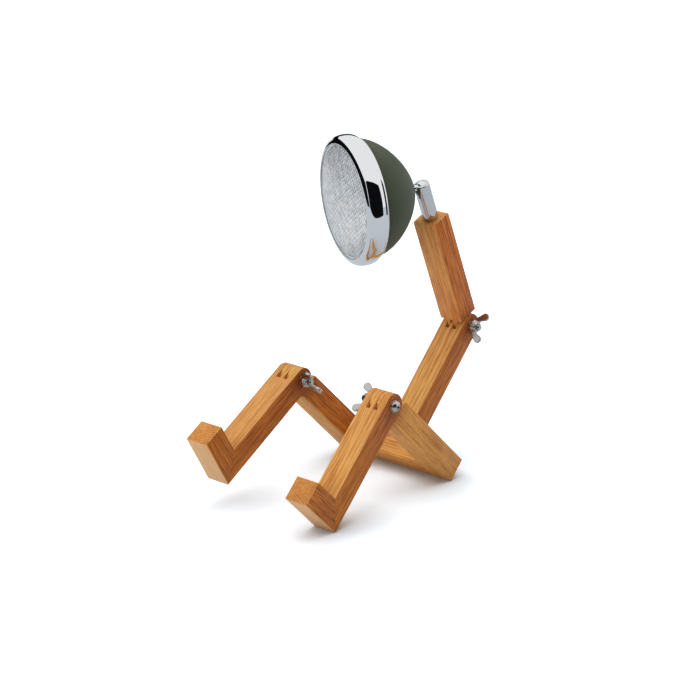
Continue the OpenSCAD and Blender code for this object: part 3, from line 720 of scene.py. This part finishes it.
def threadTree():
    graph, pitch = begunTree("screwThread", (
        ("Pitch", 0.0008), ("Major Radius", 0.0025), ("Depth", 0.0004), ("Length", 0.008)))
    radius, depth, length = (pitch.also(name) for name in ("Major Radius", "Depth", "Length"))
    middle = radius - depth * 0.5
    helix = graph.node("GeometryNodeCurveSpiral", {}, {
        "Resolution": 32, "Rotations": length / pitch, "Start Radius": middle, "End Radius": middle,
        "Height": length, "Reverse": False})
    ridge = graph.node("GeometryNodeCurvePrimitiveCircle", {"mode": "RADIUS"}, {
        "Resolution": 4, "Radius": depth * 0.55})
    swept = graph.node("GeometryNodeCurveToMesh", {}, {"Curve": helix, "Profile Curve": ridge, "Fill Caps": True})
    return endedTree(graph, swept, pitch.also("Finish"))


thread = threadTree()


def threadOf(slot, low, length, pitch, radius, depth):
    ridge = grown(thread, {"Pitch": pitch * mm, "Major Radius": radius * mm, "Depth": depth * mm,
                           "Length": length * mm, "Finish": finishes[slot]})
    ridge.transform(Matrix.Translation((0, 0, low * mm)))
    return ridge


def pivotScrew():
    edge = pivot["headHigh"] * 0.3
    crown = pivot["headHigh"] - edge
    half = pivot["headWide"] / 2
    dome = (half * half + crown * crown) / (2 * crown)
    middle = pivotSeat + pivot["headHigh"] - dome
    lean = math.degrees(math.asin((half - 0.35) / dome))
    core = pivot["screw"] / 2
    end = -pivotSeat - pivot["nutHigh"] - pivot["proud"]
    threadTop = -pivotSeat + 1
    outline = [(0, end), (core - 0.7, end), (core - 0.38, end + 0.35), (core - 0.38, threadTop),
               (core, threadTop + 0.6), (core, pivotSeat), (half - 0.25, pivotSeat), (half, pivotSeat + 0.25),
               (half, pivotSeat + edge * 0.75)]
    outline += arc(0, middle, dome, 90 - lean - 1.2, 90, 14)[:-1] + [(0, pivotSeat + pivot["headHigh"])]
    solid = turned(outline, 96)
    # Cross recess, cut by two tapered blades
    top, reach, low = pivotSeat + pivot["headHigh"] + 0.3, 0.255 * pivot["headWide"], 0.07 * pivot["headWide"]
    width = pivot["screw"] * 0.12
    corners = [(sx * (reach if z else low), sy * (width if z else width * 0.7), top - pivot["recessDeep"] * (1 - z))
               for z in (0, 1) for sx, sy in ((-1, -1), (1, -1), (1, 1), (-1, 1))]
    faces = [(3, 2, 1, 0), (4, 5, 6, 7), (0, 1, 5, 4), (1, 2, 6, 5), (2, 3, 7, 6), (3, 0, 4, 7)]
    for turn in (pivot["recessTurn"], pivot["recessTurn"] + 90):
        blade = meshFrom([Vector(c) * mm for c in corners], faces)
        blade.transform(Matrix.Rotation(math.radians(turn), 4, "Z"))
        solid = cutBy(solid, blade)
    ridge = threadOf("steel", end + 0.35, threadTop - end - 0.5, pivot["pitch"], core - 0.02, 0.42)
    return smoothed(joined(solid, ridge), 40)


def pivotWasher(facing):
    inner, outer = pivot["screw"] / 2 + 0.1, pivot["washer"] / 2
    low, high = pivot["beam"] / 2, pivotSeat
    outline = [(inner, low), (outer - 0.06, low), (outer, low + 0.1)]
    outline += arc(outer - 0.35, high - 0.35, 0.35, 0, 90, 4) + [(inner + 0.12, high), (inner, high - 0.12)]
    mesh = turned(outline, 72)
    if facing < 0:
        mesh.transform(Matrix.Rotation(math.pi, 4, "X"))
    return smoothed(mesh, 40)


def wingNut(turn):
    # Cast wing nut: hub and wings are run together and softened, as a casting is
    hub, high, span, tall = pivot["nutWide"] / 2, pivot["nutHigh"], pivot["span"], pivot["wingHigh"]
    bore = pivot["screw"] / 2 + 0.12
    parts = [turned([(bore, 0.02), (hub - 0.3, 0.02), (hub, 0.5), (hub, high * 0.35), (hub - 1.1, high - 0.3),
                     (hub - 1.6, high), (bore, high)], 64)]
    ear = pivot["ear"]
    outline = [(bore + 0.7, 0.7), (hub + 0.4, 0.7), (hub + 1.6, 2.2)]
    outline += arc(span / 2 - ear / 2, tall - ear / 2, ear / 2 + 0.02, -52, 152, 18)
    outline += [(hub - 0.2, high + 0.4), (bore + 0.9, high - 0.2)]
    # The wings are thicker at their roots
    near, far = ([(x * mm, face * pivot["wingThick"] * (0.5 if z > high else 0.62) * mm, z * mm) for x, z in outline]
                 for face in (-1, 1))
    for flip in (0, 1):
        wing = slab(near, far)
        wing.transform(Matrix.Rotation(math.pi * flip, 4, "Z"))
        parts.append(wing)
    mesh = modified(joined(*parts), ("REMESH", {"mode": "VOXEL", "voxel_size": 0.26 * mm}),
                    ("SMOOTH", {"factor": 0.5, "iterations": 5}))
    mesh.polygons.foreach_set("use_smooth", [True] * len(mesh.polygons))
    down = Matrix.Translation((0, 0, -pivotSeat * mm))
    mesh.transform(down @ Matrix.Rotation(math.radians(turn), 4, "Z") @ Matrix.Rotation(math.pi, 4, "X"))
    return mesh


for name, at in pivots.items():
    # +Z looks along the screw towards its head, and X lies as in the part's own pivot frame
    place = frameAt(at["pin"], side * at["facing"], at["lean"] * -at["facing"])
    asPiece(name + "_screw_turned", pivotScrew(), "steel", name + "_screw", place)
    asPiece(name + "_washers_turned", joined(pivotWasher(1), pivotWasher(-1)), "steel", name + "_washers", place)
    asPiece(name + "_wing_nut_cast", wingNut(at["wingTurn"]), "steel", name + "_wing_nut", place)
print("pivots done")


neck = {"tube": 6.5, "length": 33.5, "ball": 5.0, "ballHeight": 30.0, "stem": 2.5, "slotGap": 0.3, "slotDrop": 1,
        "fit": 0.05, "lip": 1.1, "ease": 0.22, "collar": 4.0, "collarTop": 9.5, "collarHigh": 1.7, "stemEnd": 18.3}


def neckTube():
    bore, outer, high, centre = neck["ball"] + neck["fit"], neck["tube"], neck["length"], neck["ballHeight"]
    lip, lipAngle = neck["lip"], math.degrees(math.asin((high - centre) / bore))
    outline = [(bore, 0), (outer - 0.2, 0), (outer, 0.2), (outer, high - lip)]
    outline += arc(outer - lip, high - lip, lip, 0, 90, 8)[1:]
    outline += list(reversed(arc(0, centre, bore, 0, lipAngle, 10)))
    # The slot lets the stem nod: a round foot just under the ball's middle, open at the top
    half, slotZ, above = neck["stem"] + neck["slotGap"], centre - neck["slotDrop"], 60.0
    turns = [-math.pi * i / 32 for i in range(33)]
    slot = [(half, above)] + [(half * math.cos(a), slotZ + half * math.sin(a)) for a in turns] + [(-half, above)]
    near, far = ([Vector((x, y, z)) * mm for x, z in slot] for y in (-2.0 * outer, 0.0))
    cut = cutBy(turned(outline, 160), slab(near, far))
    return smoothed(eased(cut, neck["ease"] * mm, angle=38), 32)


def ballStud():
    ball, stem, collar, end = neck["ball"], neck["stem"], neck["collar"], neck["stemEnd"]
    top, under = neck["collarTop"], neck["collarTop"] - neck["collarHigh"]
    meet = math.degrees(math.acos(stem / ball))
    outline = [(0, -ball)] + arc(0, 0, ball, -90, meet - 3, 40)[1:]
    outline += [(stem, ball * math.sin(math.radians(meet)) + 0.35), (stem, under - 0.3), (stem + 0.3, under),
                (collar - 0.25, under), (collar, under + 0.25), (collar, top - 0.15), (collar - 0.15, top),
                (stem, top), (stem, end - 0.5), (stem - 0.5, end), (0, end)]
    return smoothed(turned(outline, 128), 30)


asPiece("neck_tube_drawn", neckTube(), "chrome", "neck_tube", neckFrame).data.materials[0] = drawnChrome
asPiece("ball_stud_turned", ballStud(), "chrome", "ball_stud", headFrame)
print("neck done")


head = {"shell": 48.0, "depth": 42.0, "wall": 1.2, "apex": 8.5, "boss": 9.5, "bossThick": 2.0, "skirt": 7.5,
        "rimOver": 4.98, "rimWall": 1.2, "bandRadius": 16.6, "bandTurn": 16, "lipRadius": 6.2, "bead": 2.1,
        "bandRise": 9.1, "beadRise": 2.5, "beadEnd": 38, "lensRise": 5.8, "lensThick": 3.0, "lensGap": 0.4,
        "lensUnder": 0.55, "flangeOver": 1.8, "flangeThick": 2.6, "diamonds": 48, "diamond": 2, "pressed": 0.6,
        "studHole": 2.55, "inletHole": 4.55, "inletTail": 6.5, "inletOut": 2.8}
bowl = {"power": 1.6, "root": 0.64, "skirtShare": 0.1, "crowding": 1.7, "around": 192, "along": 72}
mouth = head["apex"] + head["depth"]
rimRadius = head["shell"] + head["rimOver"]
bandZ = mouth + head["bandRise"]
bandToLip = head["bandRadius"] - head["lipRadius"]
lipZ = bandZ + bandToLip * math.sin(math.radians(head["bandTurn"]))
lipIn = rimRadius - head["bandRadius"] + bandToLip * math.cos(math.radians(head["bandTurn"]))
lipFront = lipZ + head["lipRadius"]
lensRadius = lipIn - head["lensGap"]
lensEdge = lipFront - head["rimWall"] - head["lensUnder"]
lensFlange = lipIn + head["flangeOver"]
flangeZ = lensEdge - head["flangeThick"]
domeZ = lipFront - 0.3
domeRadius = (lensRadius ** 2 + head["lensRise"] ** 2) / (2 * head["lensRise"])


def bowlTree():
    # The shell's outside: a grid rolled round the axis, its radius following the bowl's rule
    graph, radius = begunTree("bowlShell", (
        ("Mouth Radius", 0.048), ("Depth", 0.042), ("Mouth Height", 0.0505), ("Skirt", 0.0075), ("Cut Share", 0.9762)),
        (("Around", 192), ("Along", 72)))
    depth, mouthHeight, skirt, cut = (radius.also(name) for name in ("Depth", "Mouth Height", "Skirt", "Cut Share"))
    grid = graph.node("GeometryNodeMeshGrid", {}, {
        "Size X": 1.0, "Size Y": 1.0, "Vertices X": radius.also("Around") + 1, "Vertices Y": radius.also("Along")})
    spotX, spotY, _ = graph.parted(graph.node("GeometryNodeInputPosition"))
    turn = (spotX + 0.5) * (2 * math.pi)
    along = spotY + 0.5
    # The first tenth is the straight skirt, the rest runs to the cut and crowds towards it
    first = bowl["skirtShare"]
    skirtShare = 1 - (along / first).math("MINIMUM", 1.0)
    run = ((along - first) / (1 - first)).math("MAXIMUM", 0.0)
    share = cut * (1 - (1 - run) ** bowl["crowding"])
    flat = (1 - share ** bowl["power"]) ** bowl["root"] * radius
    height = mouthHeight - share * depth + skirtShare * skirt
    spread = graph.united(flat * turn.math("COSINE"), flat * turn.math("SINE"), height)
    rolled = graph.node("GeometryNodeSetPosition", {}, {"Geometry": grid, "Position": spread})
    sealed = graph.node("GeometryNodeMergeByDistance", {}, {"Geometry": rolled, "Distance": 0.00001})
    return endedTree(graph, sealed, radius.also("Finish"))


def headShell():
    cut = (mouth - head["boss"]) / head["depth"]
    sheet = grown(bowlTree(), {
        "Mouth Radius": head["shell"] * mm, "Depth": head["depth"] * mm, "Mouth Height": mouth * mm,
        "Skirt": head["skirt"] * mm, "Cut Share": cut, "Around": bowl["around"], "Along": bowl["along"],
        "Finish": finishes["green_paint"]})
    shape = bmesh.new()
    shape.from_mesh(sheet)
    bmesh.ops.recalc_face_normals(shape, faces=shape.faces)
    lowest = min(shape.faces, key=lambda f: f.calc_center_median().z)
    middle = lowest.calc_center_median()
    if lowest.normal.dot(Vector((middle.x, middle.y, -0.02))) < 0:
        bmesh.ops.reverse_faces(shape, faces=shape.faces)
    shape.to_mesh(sheet)
    shape.free()
    wall = modified(sheet, ("SOLIDIFY", {"thickness": head["wall"] * mm, "offset": -1, "use_even_offset": True}))
    # A thick washer closes the apex, and a pad carries the inlet
    low, high, hole = head["boss"], head["boss"] + head["bossThick"], head["studHole"]
    cutRadius = head["shell"] * (1 - cut ** bowl["power"]) ** bowl["root"]
    outline = [(hole, low), (cutRadius, low), (cutRadius + 2.6, low + 0.9), (cutRadius + 3.0, high), (hole, high)]
    boss = turned(outline, 96)
    pad = turned([(0, -2.2), (6.4, -2.2), (6.9, -0.1), (6.8, 0.16), (6.55, 0.3), (0, 0.3)], 72)
    drill = turned([(0, -9), (head["inletHole"], -9), (head["inletHole"], 6), (0, 6)], 64)
    toHead = headFrame.inverted() @ padFrame
    pad.transform(toHead)
    drill.transform(toHead)
    shell = cutBy(cutBy(tidied(wall), pad, "UNION"), drill)
    return smoothed(joined(shell, boss), 32)


# The inlet's mount sits at the middle of its bore; the pad's own origin is on the shell
boreMiddle = (head["inletTail"] - head["inletOut"]) / 2
padFrame = inletFrame.copy()
padFrame.translation = inletFrame.translation + inletFrame.col[2].to_3d() * (boreMiddle * mm)
asPiece("head_shell_spun", headShell(), "green_paint", "head_shell", headFrame)


def cordInlet():
    # Moulded bush with a belled mouth, a flange notched for the fingers and a threaded tail
    bush = {"bore": 3.25, "thread": 4.47, "flange": 6.5, "low": 0.3, "bell": 0.9, "pitch": 1.0, "threadDeep": 0.5,
            "threadLong": 5.4, "notches": 24, "notch": 0.36}
    root, bell, bore, flange = bush["thread"] - 0.35, bush["bell"], bush["bore"], bush["flange"]
    end, front = -head["inletTail"], head["inletOut"]
    outline = [(bore, end + 0.3), (bore + 0.3, end), (root, end), (root, bush["low"]),
               (flange, bush["low"]), (flange, front - 0.7)]
    outline += arc(flange - 0.6, front - 0.6, 0.6, 0, 90, 6) + arc(bore + bell, front - bell, bell, 90, 180, 8)
    body = turned(outline, 288)
    for vertex in body.vertices:
        reach = math.hypot(vertex.co.x, vertex.co.y)
        if reach > (flange - 0.5) * mm:
            turn = math.atan2(vertex.co.y, vertex.co.x)
            share = 1 - bush["notch"] * mm / reach * max(0.0, math.cos(bush["notches"] * turn)) ** 2
            vertex.co.x, vertex.co.y = vertex.co.x * share, vertex.co.y * share
    tail = threadOf("black_plastic", end + 0.5, bush["threadLong"], bush["pitch"], bush["thread"], bush["threadDeep"])
    return smoothed(joined(body, tail), 38)


asPiece("cord_inlet_moulded", cordInlet(), "black_plastic", "cord_inlet", padFrame)


def chromeRim():
    wall, band, turn = head["rimWall"], head["bandRadius"], head["bandTurn"]
    bandC = rimRadius - band
    fit, beadZ, beadEnd = head["shell"] + 0.1, mouth + head["beadRise"], head["beadEnd"]
    bandStart = beadZ + head["bead"] * math.cos(math.radians(beadEnd))
    startTurn = math.degrees(math.asin((bandZ - bandStart) / band))
    inTurn = math.degrees(math.asin((bandStart + wall - bandZ) / (band - wall)))
    outer = [(fit, beadZ - head["bead"])] + arcAlong(beadZ, fit + 0.5, head["bead"], 180, beadEnd, 14)
    outer += arcAlong(bandZ, bandC, band, 90 + startTurn, 90 - turn, 26)
    outer += arcAlong(lipZ, lipIn, head["lipRadius"], 90 - turn, 0, 20)[1:]
    inner = arcAlong(lipZ, lipIn, head["lipRadius"] - wall, 0, 90 - turn, 16)
    inner += arcAlong(bandZ, bandC, band - wall, 90 - turn, 90 - inTurn, 20)[1:] + [(fit, bandStart + wall)]
    return smoothed(turned(outer + inner, 256), 38)


asPiece("chrome_rim_spun", chromeRim(), "chrome", "chrome_rim", headFrame)


def prismTree():
    # A block whose top carries rows of small pyramids on the lens's inner curve
    graph, width = begunTree("lensPrisms", (
        ("Width", 0.096), ("Relief", 0.00035), ("Curve Radius", 0.18), ("Curve Centre", -0.1), ("Floor", 0.05)),
        (("Cells", 80),))
    relief, curve, centre, base, cells = (
        width.also(name) for name in ("Relief", "Curve Radius", "Curve Centre", "Floor", "Cells"))
    block = graph.node("GeometryNodeMeshCube", {}, {
        "Size": graph.united(width, width, 1.0), "Vertices X": cells + 1, "Vertices Y": cells + 1, "Vertices Z": 2})
    x, y, z = graph.parted(graph.node("GeometryNodeInputPosition"))
    column, row = (((across / width + 0.5) * cells).math("ROUND") for across in (x, y))
    odd = (column + row).math("FLOORED_MODULO", 2.0)
    dome = (curve ** 2 - x * x - y * y) ** 0.5 + centre
    top = z.math("GREATER_THAN", 0.0)
    height = top * (dome - odd * relief) + (1 - top) * base
    shaped = graph.node("GeometryNodeSetPosition", {}, {"Geometry": block, "Position": graph.united(x, y, height)})
    return endedTree(graph, shaped, width.also("Finish"))


def lensDisc():
    centre = domeZ + head["lensRise"] - domeRadius
    lean = math.degrees(math.asin(lensRadius / domeRadius))
    inner = domeRadius - head["lensThick"]
    outline = [(0, flangeZ), (lensRadius - 1, flangeZ), (lensFlange, flangeZ), (lensFlange, lensEdge),
               (lensRadius, lensEdge)] + arc(0, centre, domeRadius, 90 - lean, 90, 28)
    disc = turned(outline, 192)
    bite = lensRadius - 2
    prisms = grown(prismTree(), {
        "Width": head["diamonds"] * head["diamond"] * mm, "Relief": head["pressed"] * mm, "Curve Radius": inner * mm,
        "Curve Centre": centre * mm, "Floor": (flangeZ - 11) * mm, "Cells": head["diamonds"],
        "Finish": finishes["lens_glass"]})
    well = turned([(0, flangeZ - 5), (bite, flangeZ - 5), (bite, domeZ + 20), (0, domeZ + 20)], 192)
    made = cutBy(disc, cutBy(tidied(prisms), well, "INTERSECT"))
    keepOn(made, "lensPlace", [c for v in made.vertices for c in v.co], "FLOAT_VECTOR")
    # A point well under the dome lies on the patterned inner face
    domeAt = [centre * mm + math.sqrt((domeRadius * mm) ** 2 - v.co.x ** 2 - v.co.y ** 2) for v in made.vertices]
    keepOn(made, "lensInner", [float(top - v.co.z > 2 * mm) for top, v in zip(domeAt, made.vertices)])
    return smoothed(made, 8)


asPiece("lens_pressed", lensDisc(), "lens_glass", "lens", headFrame)
print("head done")
